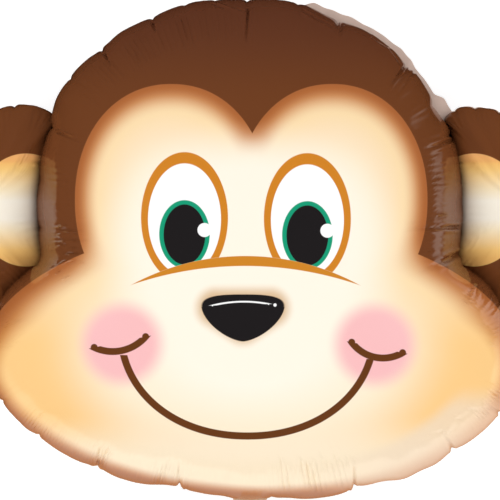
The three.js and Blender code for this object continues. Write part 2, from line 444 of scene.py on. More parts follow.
def squared(seam, rows, run):
    """The rows with their points moved along them, so that columns start square to the seam."""
    if not seam.square:
        return rows
    slip = ((rows - seam.points) * seam.tangent).sum(2)
    share = 1 - smooth_step(run, *seam.square)
    held = seam.travel + slip * share[:, None]
    held = np.concatenate([held - seam.length, held, held + seam.length], 1)
    moved = np.empty_like(rows)
    for k, row in enumerate(rows):
        places = np.maximum.accumulate(held[k])
        for c in (0, 1):
            moved[k, :, c] = np.interp(seam.travel, places, np.tile(row[:, c], 3))
    return moved


def sheet(seam, thickness, run, side, relief, wave):
    """One inflated sheet: a grid of points, row by row from the middle out to the seam."""
    radius_of_seam = seam.length / (2 * np.pi)
    slope = np.interp(-run / radius_of_seam, -RUN, SLOPE)
    radius = np.sqrt(np.sin(slope))[:, None, None]
    height = np.interp(slope, SLOPE, RISE) / RISE[0]
    spread = seam.eased + (seam.points - seam.eased) * radius**EASING_POWER - seam.centre
    flat = squared(seam, seam.centre + spread * radius, run)
    z = side * (FOIL_EDGE / 2 + (thickness / 2 - FOIL_EDGE / 2) * height)
    base = np.concatenate([flat, np.broadcast_to(z[:, None, None], (*flat.shape[:2], 1))], 2)
    around = np.roll(base, -1, 1) - np.roll(base, 1, 1)
    outwards = np.gradient(base, axis=0)
    normal = np.cross(outwards, around)
    normal /= np.linalg.norm(normal, axis=2)[:, :, None]
    normal *= side * np.sign((normal[:, :, 2:]).sum())
    offset = flat - seam.points
    inset = -(offset * seam.outward).sum(2)
    along = seam.travel + (offset * seam.tangent).sum(2)
    points = base + normal * relief(base[:, :, 0], base[:, :, 1], inset, along)[:, :, None]
    points[:, :, 2] += wave * np.exp(-run / SEAM_WAVE_REACH)[:, None]
    return points


# Rows of points on a sheet: how far the first is from the seam, how fast they grow apart,
# and the distances from the seam up to which every column, every second and so on stays. The
# last row keeps one and a half steps from the middle.
LAST_ROW = 1.5
FRONT_ROWS = {"first": 2.0, "growth": 1.038, "longest": 15}
BACK_ROWS = {"first": 3.4, "growth": 1.08, "longest": 16}
HEAD_THINNING = ((125, 1), (190, 2), (262, 4), (math.inf, 8))
HEAD_BACK_THINNING = ((50, 2), (150, 4), (math.inf, 8))
EAR_THINNING = ((38, 1), (80, 2), (math.inf, 4))
EAR_BACK_THINNING = ((50, 2), (math.inf, 4))
HEAD_COLUMNS = 1320
EAR_COLUMNS = 424
FRONT, EAR_FRONT, BORDER, BACK = range(4)

# How far in the head's columns run square to its seam, and from where they run to the middle
SQUARE_COLUMNS = (55, 150)
HEAD_SEED = 7
EAR_SEED = 20


def runs(seam, first, growth, longest):
    """Distances of the rows from the seam, from the middle out to 0."""
    whole = seam.length / (2 * np.pi) * RUN[0]
    steps = [0.0]
    step = first
    while steps[-1] + LAST_ROW * step < whole:
        steps.append(steps[-1] + step)
        step = min(step * growth, longest)
    return np.array(steps[::-1])


def thinned(points, run, thinning):
    """The rows as rings, with fewer columns the further they are from the seam."""
    rings = []
    for row, distance in zip(points, run):
        stride = next(stride for limit, stride in thinning if distance <= limit)
        rings.append(row[::stride])
    return rings


def border(seam, front_edge, back_edge, width, flat, ripple):
    """Rings out over the front of the sealed border and back over its underside."""
    middle = (front_edge + back_edge) / 2
    outward = np.concatenate([seam.outward, np.zeros((seam.count, 1))], 1)
    up = np.array([0, 0, 1.0])
    whole = BORDER_RINGS[-1]
    reach = np.linspace(0, whole, BORDER_STEPS + 1)
    angle = BORDER_FOLD * (1 - flat)[:, None] * smooth_step(reach, 0, BORDER_CURL)
    step = reach[1] * (width / whole)[:, None]
    none = np.zeros((seam.count, 1))
    out, drop = (
        np.concatenate([none, np.cumsum(part(angle[:, 1:]) * step, 1)], 1) for part in (np.cos, np.sin)
    )
    front, back = [], []
    for distance in BORDER_RINGS[1:]:
        k = round(distance / whole * BORDER_STEPS)
        turn = angle[:, k : k + 1]
        line = middle + outward * out[:, k : k + 1] - up * drop[:, k : k + 1]
        line[:, :2] += (seam.points - middle[:, :2]) * (flat * distance / whole)[:, None]
        facing = outward * np.sin(turn) + up * np.cos(turn)
        line = line + facing * (ripple * distance / whole)[:, None]
        front.append(line + facing * FOIL_EDGE / 2)
        back.append(line - facing * FOIL_EDGE / 2)
    return front + back[::-1]


def strip(first, second, n_first, n_second):
    """Triangles between two closed rings, one of which may have half the points."""
    if n_first < n_second:
        return [(a, c, b) for a, b, c in strip(second, first, n_second, n_first)]
    triangles = []
    for j in range(n_second):
        k = (j + 1) % n_second
        if n_first == n_second:
            triangles += [(first + j, second + j, second + k), (first + j, second + k, first + k)]
            continue
        before, halfway, after = first + 2 * j, first + 2 * j + 1, first + (2 * j + 2) % n_first
        triangles.append((before, second + j, halfway))
        triangles.append((halfway, second + j, second + k))
        triangles.append((halfway, second + k, after))
    return triangles


def added(name, data):
    """A new object, in the scene."""
    made = bpy.data.objects.new(name, data)
    bpy.context.scene.collection.objects.link(made)
    return made


def closed_mesh(name, rings, kinds, front_pole, back_pole, materials):
    """A closed mesh over rings of points, from one pole to the other."""
    starts = np.cumsum([0] + [len(ring) for ring in rings])
    points = np.concatenate([*rings, [front_pole], [back_pole]])
    pole = starts[-1]
    triangles, faces = [], []
    count = len(rings[0])
    triangles += [(pole, j, (j + 1) % count) for j in range(count)]
    faces += [kinds[0]] * count
    for k in range(len(rings) - 1):
        new = strip(starts[k], starts[k + 1], len(rings[k]), len(rings[k + 1]))
        triangles += new
        faces += [kinds[k]] * len(new)
    count, last = len(rings[-1]), starts[-2]
    triangles += [(pole + 1, last + (j + 1) % count, last + j) for j in range(count)]
    faces += [kinds[-1]] * count
    return mesh_object(name, points, np.array(triangles), faces, materials)


def mesh_object(name, points, triangles, faces, materials):
    """An object from points in the drawing's millimetres, its triangles turned outwards."""
    a, b, c = (points[triangles[:, k]] for k in range(3))
    if np.einsum("ij,ij->i", a, np.cross(b, c)).sum() < 0:
        triangles = triangles[:, ::-1]
    placed = (points + [0, DRAWING_Y, SEAM_HEIGHT]) * MM
    mesh = bpy.data.meshes.new(name)
    mesh.from_pydata(placed, [], triangles)
    for material in materials:
        mesh.materials.append(material)
    mesh.polygons.foreach_set("material_index", np.array(faces, np.int32))
    mesh.update()
    return added(name, mesh)


def pillow(name, seam, thickness, kind, pinches, reliefs, width, flat, thinning, materials, rng):
    """A closed chamber: front sheet, sealed border and back sheet."""
    run_of = [runs(seam, **rows) for rows in (FRONT_ROWS, BACK_ROWS)]
    shared = [*pinches, *tucks(seam, rng)]
    wave = SEAM_WAVE * seam.waves(SEAM_WAVES, rng)
    sheets = []
    for side, run, own in zip((1, -1), run_of, reliefs):
        broad = lobes_relief(seam, run, pinches) + undulation(seam, run, rng)

        def relief(x, y, inset, along):
            return broad + pinches_relief(seam, run, along, shared) + own(x, y, inset, along)

        sheets.append(sheet(seam, thickness, run, side, relief, wave))
    front, back = sheets
    back[:, :, 2] = np.maximum(back[:, :, 2], -HEAD_THICKNESS / 2 + FLAT_SPOT_DEPTH)
    width = width * (1 + seam.waves(BORDER_UNEVEN, rng))
    ripple = BORDER_RIPPLE * seam.waves(BORDER_RIPPLES, rng)
    front_rings, back_rings = (thinned(*each) for each in zip(sheets, run_of, thinning))
    border_rings = border(seam, front[-1], back[-1], width, flat, ripple)
    back_rings[-1] = back[-1]
    rings = front_rings + border_rings + back_rings[::-1]
    kinds = [kind] * (len(front_rings) - 1)
    kinds += [BORDER] * (len(border_rings) + 1)
    kinds += [BACK] * len(back_rings)
    return closed_mesh(name, rings, kinds, front[0].mean(0), back[0].mean(0), materials)


def head(materials):
    rng = np.random.default_rng(HEAD_SEED)
    busy = [*HEAD_BUSY, *((place, place, *PINCH_BUSY.values()) for place, _, _ in HEAD_PINCHES)]
    seam = Seam(head_gauge, HEAD_CENTRE, HEAD_COLUMNS, busy, HEAD_SHIFTS, SQUARE_COLUMNS)
    pinches = [(seam.at(place), pull, reach) for place, pull, reach in HEAD_PINCHES]
    faint = (0, seam.length, *FAINT_PLEATS.values())
    rows = [(*between(seam, start, end), *rest) for start, end, *rest in HEAD_PLEATS]
    spread = [(place, *BACK_PLEATS) for place, _, _ in pinches[::2]]

    def front_relief(x, y, inset, along):
        pleats = pleats_relief(seam, inset, along, [*rows, faint], rng)
        swells = swells_relief(seam, runs(seam, **FRONT_ROWS), HEAD_SWELLS)
        return pleats + swells + creases_relief(x, y, HEAD_CREASES)

    def back_relief(x, y, inset, along):
        return pleats_relief(seam, inset, along, [*spread, faint], rng)

    x, y = seam.points.T
    outside_ears = np.minimum(ear_gauge(x, y), ear_gauge(-x, y))
    width = BORDER_WIDTH * smooth_step(outside_ears, *HEAD_BORDER_OUTSIDE_EARS) + BORDER_LEAST
    for start, end, more in BORDER_WIDER:
        width += more * stretch(seam, start, end, BORDER_TURN / 2)
    flat = stretch(seam, *BORDER_FLAT, BORDER_TURN)
    reliefs = (front_relief, back_relief)
    return pillow("head", seam, HEAD_THICKNESS, FRONT, pinches, reliefs, width, flat,
                  (HEAD_THINNING, HEAD_BACK_THINNING), materials, rng)


def ear(materials, side):
    rng = np.random.default_rng(EAR_SEED + side)
    centre = (side * EAR_CENTRE[0], EAR_CENTRE[1])
    seam = Seam(lambda x, y: ear_gauge(side * x, y), centre, EAR_COLUMNS, shifts=EAR_SHIFTS[side])
    count = round(seam.length / EAR_PINCHES_APART)
    scatter = rng.uniform(-EAR_PINCH_SCATTER, EAR_PINCH_SCATTER, count)
    places = (np.arange(count) + scatter) * seam.length / count
    pulls = rng.uniform(*EAR_PINCH_PULL, count)
    pinches = list(zip(places, pulls, rng.uniform(*EAR_PINCH_REACH, count)))
    pleats = [(place, *EAR_PLEATS) for place in places[::2]]
    pleats.append((0, seam.length, *FAINT_PLEATS.values()))
    rows = [PHOTO_MIDDLE + side * (PHOTO_MIDDLE - EAR_CREASE[key]) for key in ("from", "to")]
    height = EAR_CREASE["height"]
    crease = ((rows[1], height), (rows[0], height), EAR_CREASE["depth"], EAR_CREASE["width"])

    def back_relief(x, y, inset, along):
        return pleats_relief(seam, inset, along, pleats, rng)

    def front_relief(x, y, inset, along):
        return back_relief(x, y, inset, along) + creases_relief(x, y, [crease])

    outside_head = smooth_step(head_gauge(*seam.points.T), *EAR_BORDER_OUTSIDE_HEAD)
    width = BORDER_WIDTH * outside_head + BORDER_LEAST
    name = "right_ear" if side > 0 else "left_ear"
    reliefs = (front_relief, back_relief)
    return pillow(name, seam, EAR_THICKNESS, EAR_FRONT, pinches, reliefs, width,
                  np.zeros(seam.count), (EAR_THINNING, EAR_BACK_THINNING), materials, rng)


# The filling tail, with its two seals and the flat channel between them
TAIL_ROWS = 56
TAIL_COLUMNS = 21
TAIL_CHANNEL = {"across": (0.25, 0.5), "start": 12, "puff": 1.0, "below": 0.4}
TAIL_WAVE = {"height": 1.1, "length": 46}
TAIL_TWIST = {"height": 0.9, "length": 17}


def tail(materials):
    """A flat tongue under the chin, sealed along both sides."""
    along = np.linspace(-TAIL["overlap"], TAIL["length"], TAIL_ROWS)
    narrowing = smooth_step(along, -TAIL["overlap"], TAIL["neck"])
    flare = smooth_step(along, TAIL["neck"], TAIL["length"])
    width = TAIL["root_width"] + (TAIL["neck_width"] - TAIL["root_width"]) * narrowing
    width = width + (TAIL["end_width"] - TAIL["neck_width"]) * flare
    across = np.linspace(-1, 1, TAIL_COLUMNS)
    x = width[:, None] / 2 * across
    y = np.broadcast_to((CHIN - along)[:, None], x.shape)
    free = smooth_step(along, 0, TAIL["length"])[:, None]
    bend = TAIL_WAVE["height"] * free * np.sin(along[:, None] * 2 * np.pi / TAIL_WAVE["length"])
    twist = TAIL_TWIST["height"] * free * across * np.cos(along[:, None] / TAIL_TWIST["length"])
    puff = 1 - smooth_step(np.abs(across), *TAIL_CHANNEL["across"])
    puff = TAIL_CHANNEL["puff"] * puff * smooth_step(along, 0, TAIL_CHANNEL["start"])[:, None]
    top = np.stack([x, y, bend + twist + FOIL_EDGE / 2 + puff], 2)
    bottom = np.stack([x, y, bend + twist - FOIL_EDGE / 2 - TAIL_CHANNEL["below"] * puff], 2)
    points = np.concatenate([top.reshape(-1, 3), bottom.reshape(-1, 3)])
    grid = np.arange(x.size).reshape(x.shape)
    half = x.size
    triangles, faces = [], []
    for near, far in zip(grid, grid[1:]):
        for a, b, c, d in zip(near, near[1:], far[1:], far):
            triangles += [(a, c, b), (a, d, c)]
            triangles += [(half + a, half + b, half + c), (half + a, half + c, half + d)]
            faces += [BORDER] * 2 + [BACK] * 2
    loop = [*grid[0], *grid[1:, -1], *grid[-1, -2::-1], *grid[-2:0:-1, 0]]
    for a, b in zip(loop, [*loop[1:], loop[0]]):
        triangles += [(a, b, half + b), (a, half + b, half + a)]
        faces += [BORDER] * 2
    return mesh_object("tail", points, np.array(triangles), faces, materials)


SHARP_ANGLE = math.radians(42)


def joined(first, *others):
    """The union of closed objects as one object."""
    for other in others:
        union = first.modifiers.new("union", "BOOLEAN")
        union.operation = "UNION"
        union.solver = "MANIFOLD"
        union.object = other
    bpy.context.view_layer.update()
    seen = first.evaluated_get(bpy.context.evaluated_depsgraph_get())
    mesh = bpy.data.meshes.new_from_object(seen)
    mesh.name = "monkey_balloon"
    whole = added("monkey_balloon", mesh)
    for part in (first, *others):
        bpy.data.objects.remove(part)
    mesh.shade_smooth()
    mesh.set_sharp_from_angle(angle=SHARP_ANGLE)
    return whole


# Shader arithmetic


def wire(tree, node, inputs):
    """Sets inputs of a node, each to a value or to what another node gives."""
    for key, value in inputs.items():
        value = getattr(value, "socket", value)
        if isinstance(value, bpy.types.NodeSocket):
            tree.links.new(value, node.inputs[key])
        else:
            node.inputs[key].default_value = value
    return node


class Number:
    """A number that a shader works out. Each operation adds a Math node to its tree."""

    def __init__(self, tree, socket):
        self.tree = tree
        self.socket = socket

    def then(self, operation, *others):
        node = self.tree.nodes.new("ShaderNodeMath")
        node.operation = operation
        wire(self.tree, node, dict(enumerate((self, *others))))
        return Number(self.tree, node.outputs[0])

    __add__ = partialmethod(then, "ADD")
    __sub__ = partialmethod(then, "SUBTRACT")
    __mul__ = partialmethod(then, "MULTIPLY")
    __truediv__ = partialmethod(then, "DIVIDE")
    __pow__ = partialmethod(then, "POWER")


def magnitude(value):
    return value.then("ABSOLUTE")


def larger(first, *others):
    for other in others:
        first = first.then("MAXIMUM", other)
    return first


def smaller(first, *others):
    for other in others:
        first = first.then("MINIMUM", other)
    return first


def fade(value, low, high):
    """0 where the value is at or past low, 1 where it is at or past high, smooth between."""
    node = value.tree.nodes.new("ShaderNodeMapRange")
    node.interpolation_type = "SMOOTHSTEP"
    rising = low < high
    ends = {"From Min": min(low, high), "From Max": max(low, high)}
    wire(value.tree, node, {**ends, "To Min": 0 if rising else 1, "To Max": 1 if rising else 0})
    wire(value.tree, node, {"Value": value})
    return Number(value.tree, node.outputs["Result"])


def linear(colour):
    """A colour given as three numbers up to 255, as a shader's four numbers."""
    shares = [channel / 255 for channel in colour]
    values = [s / 12.92 if s <= 0.04045 else ((s + 0.055) / 1.055) ** 2.4 for s in shares]
    return (*values, 1)


def ramp(value, stops):
    """A colour that changes with a number: each stop is the number and the colour there."""
    low, high = stops[0][0], stops[-1][0]
    node = value.tree.nodes.new("ShaderNodeValToRGB")
    elements = node.color_ramp.elements
    while len(elements) < len(stops):
        elements.new(1)
    for element, (place, colour) in zip(elements, stops):
        element.position = (place - low) / (high - low)
        element.color = linear(colour)
    return wire(value.tree, node, {"Fac": (value - low) / (high - low)}).outputs["Color"]


MIX_UNDER, MIX_OVER, MIX_RESULT = 6, 7, 2


def over(under, colour, share):
    """One colour laid over another by a share that the shader works out."""
    node = share.tree.nodes.new("ShaderNodeMix")
    node.data_type = "RGBA"
    under, colour = (linear(c) if isinstance(c, tuple) else c for c in (under, colour))
    wire(share.tree, node, {"Factor": share, MIX_UNDER: under, MIX_OVER: colour})
    return node.outputs[MIX_RESULT]


# The print, with painted shade on the ears by the head and a painted reflection near the face's lower
# right edge. Its places and sizes are pixels of the photograph's frame.

EDGE = 0.35
HALF_PIXEL = 0.5
NEAR_ZERO = 0.01
BROWN = (112, 63, 33)
BROWN_TOP = (98, 54, 34)
TOP_FADE = (110, 10)
LOBES = ({"at": (171.3, 200), "size": (96.4, 116)}, {"at": (332.3, 200), "size": (95.2, 116)})
LOBE_POWER = 2.12
CHEEKS = {"at": (250, 352), "size": (266, 130), "power": 1.9, "whole": (345, 355)}
CHEEKS_BELOW = {"left": 141.5, "right": 150.5, "across": (180, 420)}
CHEEKS_WIDER = {"by": 5, "down": (325, 385)}
CUSP = {"at": (252, 262), "size": (62, 116), "scale": 200}
CHEEK_RIM = {"narrower": 1.2, "down": (315, 385)}
RIM_BARE = {"across": (280, 400), "down": (372, 420), "share": 0.8}
RIM_REACH = 25
RIM_POWER = 2.3
RIM_STOPS = (
    (0, (194, 101, 4)), (0.09, (194, 101, 4)), (0.24, (184, 98, 14)), (0.32, (178, 100, 44)),
    (0.5, (171, 101, 56)),
)
CREAM = (255, 246, 229)
WARM_STOPS = ((25, (252, 222, 175)), (40, (253, 227, 190)), (60, (253, 236, 207)), (100, CREAM))
FACE_MIDDLE = {"at": (250, 257), "size": (215, 188), "fade": (0.78, 0.45)}
GOLD = (253, 206, 138)
GOLD_PART = {"at": (250, 345), "size": (262, 152), "fade": (0.5, 0.86)}
GOLD_FADE = {"beside": (85, 200), "down": (275, 350)}
CHIN_CREAM = {"colour": (254, 240, 216), "down": (412, 458), "share": 0.65}
# A pale band near the lower right edge of the face: painted reflection of the bright floor, laid into
# the colour
PAINTED_EDGE_REFLECTION = {"across": (300, 420), "down": (382, 412), "inside": (29, 19), "share": 0.75}
PAINTED_EDGE_REFLECTION_COLOUR = (243, 221, 194)
PINK = (249, 191, 192)
BLUSH = ((122, 344), (375, 345))
BLUSH_FADE = (50, 28)
EYES = (
    {"x": 184.5, "drop": 0, "glint": (204.5, 230)},
    {"x": 307.4, "drop": 1, "glint": (327.4, 230.7)},
)
EYE_RING = {"y": 217.6, "size": (43.5, 65.5), "colour": (211, 132, 37)}
EYE_WHITE = {"y": 219.1, "size": (36.5, 55.7), "colour": (255, 255, 255)}
IRIS = {"y": 234.2, "size": (25.3, 34.1), "colour": (24, 157, 118)}
PUPIL = {"y": 234.5, "size": (20.9, 30.1), "colour": (33, 30, 31)}
GLINT_RADIUS = 7
CHEEK_LINE_TOP = ((131, 285), (247, 256), (360.5, 285.5))
CHEEK_LINE_BOTTOM = ((131, 285), (249, 266), (360.5, 285.5))
CHEEK_LINE = (209, 134, 39)
NOSE = {"at": (243, 307.5), "half_width": 41.4, "colour": (33, 30, 31)}
NOSE_HALVES = ({"side": -1, "height": 13.1, "power": 2.9}, {"side": 1, "height": 34, "power": 1.56})
NOSE_CORE = ((216, 308), (270, 308), (243, 325))
NOSE_GLOW = {"fade": (26, 12), "colour": (222, 190, 152)}
NOSE_SHINE = {"line": ((212.5, 305.5), (240.5, 301.7), (268.5, 304)), "half": 0.8}
NOSE_DOT = {"at": (275, 305), "radius": 1.6}
SMILE = {"at": (247.5, 330), "size": (126.8, 106), "power": 2.1, "half": 3.6}
SMILE_ENDS = ((122, 355), (370, 359))
DIMPLES = (
    ((94.2, 347.4), (114, 351.5), (145.6, 336.6)),
    ((351.7, 342.2), (377, 357.6), (402.6, 352.7)),
)
DIMPLE_HALF = 3.5
LINE_BROWN = (105, 59, 27)
EAR_PATCH = {"at": (26, 210), "size": (50, 56.5)}
EAR_STOPS = (
    (153, (240, 174, 108)), (161, (242, 178, 106)), (164, (247, 192, 112)),
    (170, (249, 203, 126)), (180, (252, 218, 162)), (190, (253, 233, 196)), (201, CREAM),
    (219, CREAM), (230, (252, 232, 196)), (240, (252, 217, 161)), (250, (250, 201, 122)),
    (258, (240, 186, 108)),
)
# Darkening of the ear beside the head: partly print, partly painted shade of the deep groove between
# ear and head
EAR_PAINTED_SHADE = {"at": (249.4, 206), "size": (211, 206), "roundness": 2.2, "fade": (1.06, 0.985)}
EAR_PAINTED_SHADE_COLOUR = (84, 48, 26)
EAR_PAINTED_SHADE_POWER = 1.5


def oval(u, v, at, size, power=2):
    """0 in the middle of an oval and 1 on its outline."""
    across = magnitude((u - at[0]) / size[0]) ** power
    down = magnitude((v - at[1]) / size[1]) ** power
    return (across + down) ** (1 / power)


def distance(u, v, at):
    return ((u - at[0]) ** 2 + (v - at[1]) ** 2) ** 0.5


def inside(value, limit=0.0):
    """1 where a distance is under the limit and 0 where it is over, with a fine soft edge."""
    return fade(value, limit + EDGE, limit - EDGE)


def area(u, v, part):
    """1 in one quarter of the picture and 0 in the rest, from a part's two pairs of edges."""
    return fade(u, *part["across"]) * fade(v, *part["down"])


def inside_oval(u, v, at, size):
    return inside((oval(u, v, at, size) - 1) * min(size))


def circle_through(a, b, c):
    """The centre and radius of the circle through three places."""
    rows = np.array([[b[0] - a[0], b[1] - a[1]], [c[0] - a[0], c[1] - a[1]]], float)
    squares = [(p[0] ** 2 - a[0] ** 2 + p[1] ** 2 - a[1] ** 2) / 2 for p in (b, c)]
    centre = np.linalg.solve(rows, squares)
    return centre, math.hypot(a[0] - centre[0], a[1] - centre[1])


def arc_stroke(u, v, points, half):
    """A line of even width along an arc through three places, with round ends."""
    start, middle, end = points
    centre, radius = circle_through(start, middle, end)
    first, last = (np.array(p) - centre for p in (start, end))
    facing = (first + last) / np.linalg.norm(first + last)
    limit = first @ facing
    along = (u - centre[0]) * facing[0] + (v - centre[1]) * facing[1]
    away = distance(u, v, centre)
    body = inside(magnitude(away - radius), half) * inside(along * -1 + limit)
    ends = [inside(distance(u, v, place), half) for place in (start, end)]
    return larger(body, *ends)


def triangle_distance(u, v, corners):
    """The distance outside a triangle, and 0 or less within it."""
    edges, sides = [], []
    for start, end in zip(corners, corners[1:] + corners[:1]):
        step = (end[0] - start[0], end[1] - start[1])
        length = math.hypot(*step)
        du, dv = u - start[0], v - start[1]
        held = smaller(larger((du * step[0] + dv * step[1]) / length**2, 0), 1)
        edges.append(((du - held * step[0]) ** 2 + (dv - held * step[1]) ** 2) ** 0.5)
        sides.append((du * step[1] - dv * step[0]) / length)
    return smaller(*edges) * fade(larger(*sides), -NEAR_ZERO, NEAR_ZERO)


def face_shapes(u, v):
    """How many pixels inside each of the pale shapes of the face a place is."""
    depths = []
    for lobe in LOBES:
        depths.append((oval(u, v, lobe["at"], lobe["size"], LOBE_POWER) * -1 + 1) * lobe["size"][0])
    (middle, level), (half_width, above) = CHEEKS["at"], CHEEKS["size"]
    below = fade(u, *CHEEKS_BELOW["across"]) * (CHEEKS_BELOW["right"] - CHEEKS_BELOW["left"])
    lower = fade(v, level - HALF_PIXEL, level + HALF_PIXEL)
    height = lower * (below + CHEEKS_BELOW["left"] - above) + above
    width = fade(v, *CHEEKS_WIDER["down"]) * CHEEKS_WIDER["by"] + half_width
    across = (magnitude(u - middle) / width) ** CHEEKS["power"]
    down = (magnitude(v - level) / height) ** CHEEKS["power"]
    cheeks = (across + down) ** (1 / CHEEKS["power"])
    return [*depths, (cheeks * -1 + 1) * above]


def eyes(u, v, colour):
    """Two ovals that the cheek line cuts off below."""
    centre, radius = circle_through(*CHEEK_LINE_TOP)
    above = inside(distance(u, v, centre) * -1, -radius)
    for eye in EYES:
        for part in (EYE_RING, EYE_WHITE, IRIS, PUPIL):
            cover = inside_oval(u, v, (eye["x"], part["y"] + eye["drop"]), part["size"]) * above
            colour = over(colour, part["colour"], cover)
        glint = inside(distance(u, v, eye["glint"]), GLINT_RADIUS)
        colour = over(colour, EYE_WHITE["colour"], glint)
    lower_centre, lower_radius = circle_through(*CHEEK_LINE_BOTTOM)
    line = inside(distance(u, v, centre), radius)
    line = line * inside(distance(u, v, lower_centre) * -1, -lower_radius)
    return over(colour, CHEEK_LINE, line)


def nose(u, v, colour):
    """A dark nose, flat on top and pointed below, with a soft glow round it."""
    glow = fade(triangle_distance(u, v, NOSE_CORE), *NOSE_GLOW["fade"])
    colour = over(colour, NOSE_GLOW["colour"], glow)
    for half in NOSE_HALVES:
        level = oval(u, v, NOSE["at"], (NOSE["half_width"], half["height"]), half["power"])
        cover = inside((level - 1) * half["height"])
        cover = cover * fade((v - NOSE["at"][1]) * half["side"], -HALF_PIXEL, 0)
        colour = over(colour, NOSE["colour"], cover)
    shine = arc_stroke(u, v, NOSE_SHINE["line"], NOSE_SHINE["half"])
    shine = larger(shine, inside(distance(u, v, NOSE_DOT["at"]), NOSE_DOT["radius"]))
    return over(colour, EYE_WHITE["colour"], shine)


def smile(u, v, colour):
    (x, y), (a, b), power = SMILE["at"], SMILE["size"], SMILE["power"]
    du, dv = magnitude(u - x) / a, magnitude(v - y) / b
    level = (du**power + dv**power) ** (1 / power)
    slope = ((du ** (power - 1) / a) ** 2 + (dv ** (power - 1) / b) ** 2) ** 0.5
    away = magnitude(level - 1) * level ** (power - 1) / slope
    (left, left_y), (right, right_y) = SMILE_ENDS
    tilt = (right_y - left_y) / (right - left)
    line = inside(away, SMILE["half"]) * inside((u - left) * tilt - v + left_y)
    dimples = [arc_stroke(u, v, points, DIMPLE_HALF) for points in DIMPLES]
    return over(colour, LINE_BROWN, larger(line, *dimples))


def head_print(x, y, z):
    """Brown crown, pale face with a warm rim, a painted reflection near its lower right edge, and the
    features.
    """
    u, v = to_photo(x, y, z)
    depths = face_shapes(u, v)
    middle = oval(u, v, FACE_MIDDLE["at"], FACE_MIDDLE["size"])
    warm = ramp(larger(*depths), WARM_STOPS)
    face = over(warm, CREAM, fade(middle, *FACE_MIDDLE["fade"]))
    gold = fade(magnitude(u - PHOTO_MIDDLE), *GOLD_FADE["beside"]) * fade(v, *GOLD_FADE["down"])
    gold = gold * fade(oval(u, v, GOLD_PART["at"], GOLD_PART["size"]), *GOLD_PART["fade"])
    face = over(face, GOLD, gold)
    face = over(face, CHIN_CREAM["colour"], fade(v, *CHIN_CREAM["down"]) * CHIN_CREAM["share"])
    left, right, cheeks = depths
    # Painted reflection: a pale band near the lower right edge
    pale = area(u, v, PAINTED_EDGE_REFLECTION) * fade(cheeks, *PAINTED_EDGE_REFLECTION["inside"]) * PAINTED_EDGE_REFLECTION["share"]
    face = over(face, PAINTED_EDGE_REFLECTION_COLOUR, pale)
    cheeks = cheeks * (fade(v, *CHEEK_RIM["down"]) * CHEEK_RIM["narrower"] + 1)
    cusp = (oval(u, v, CUSP["at"], CUSP["size"]) * -1 + 1) * CUSP["scale"]
    shade = area(u, v, RIM_BARE) * -RIM_BARE["share"] + 1
    for depth in (left, right, cheeks, cusp):
        shade = shade * fade(depth, RIM_REACH, -RIM_REACH)
    cover = (smaller(shade, 0.5) * -2 + 1) ** RIM_POWER * -1 + 1
    face = over(face, ramp(shade, RIM_STOPS), cover)
    for place in BLUSH:
        face = over(face, PINK, fade(distance(u, v, place), *BLUSH_FADE))
    for feature in (eyes, nose, smile):
        face = feature(u, v, face)
    brown = over(BROWN, BROWN_TOP, fade(v, *TOP_FADE))
    return over(brown, face, larger(inside(larger(*depths) * -1), fade(v, *CHEEKS["whole"])))


def ear_print(x, y, z):
    """Brown, with a pale oval that is warmer at its top and bottom, and dark by the head: partly the
    print's dark edge there, partly painted shade of the groove between ear and head.
    """
    u, v = to_photo(x, y, z)
    mirrored = magnitude(u - PHOTO_MIDDLE) * -1 + PHOTO_MIDDLE
    patch = inside_oval(mirrored, v, EAR_PATCH["at"], EAR_PATCH["size"])
    colour = over(BROWN, ramp(v, EAR_STOPS), patch)
    # Painted shade by the head, partly print
    head = oval(u, v, EAR_PAINTED_SHADE["at"], EAR_PAINTED_SHADE["size"], EAR_PAINTED_SHADE["roundness"])
    return over(colour, EAR_PAINTED_SHADE_COLOUR, fade(head, *EAR_PAINTED_SHADE["fade"]) ** EAR_PAINTED_SHADE_POWER)


# The finish. The border's places are in millimetres of the drawing, with y upwards.
FOIL_ROUGHNESS = 0.13
FOIL_SPECULAR = 0.85
CRINKLE = {"scale": 55, "detail": 3, "distance": 0.0006}
# Pale tan where the border lies flat at the upper right: painted reflection of the bright surroundings
# in the flat film
BORDER_PAINTED_REFLECTION = {"colour": (224, 198, 184), "across": (40, 90), "down": (120, 160)}
BORDER_GOLD = {"colour": (208, 142, 90), "down": (-62, -122)}
BORDER_CREAM = {"across": (60, 200), "down": (-60, -150)}
TAIL_CREAM = {"colour": (232, 206, 178), "down": (CHIN + 4, CHIN)}
BACK_BROWN = (104, 57, 29)
BACK_FADE = (-300, 300)


def new_material(name):
    material = bpy.data.materials.new(name)
    material.use_nodes = True
    tree = material.node_tree
    return material, tree, tree.nodes["Principled BSDF"]


def coordinates(tree, kind):
    """A texture coordinate as three numbers."""
    place = tree.nodes.new("ShaderNodeTexCoord").outputs[kind]
    split = wire(tree, tree.nodes.new("ShaderNodeSeparateXYZ"), {0: place})
    return [Number(tree, split.outputs[k]) for k in range(3)]


def crinkled(tree, shader, strength):
    """Fine crinkles of the film, as a small bump."""
    nodes = tree.nodes
    place = nodes.new("ShaderNodeTexCoord").outputs["Object"]
    noise = {"Scale": CRINKLE["scale"], "Detail": CRINKLE["detail"], "Vector": place}
    height = wire(tree, nodes.new("ShaderNodeTexNoise"), noise).outputs["Fac"]
    bump = {"Distance": CRINKLE["distance"], "Strength": strength, "Height": height}
    bump = wire(tree, nodes.new("ShaderNodeBump"), bump)
    tree.links.new(bump.outputs["Normal"], shader.inputs["Normal"])


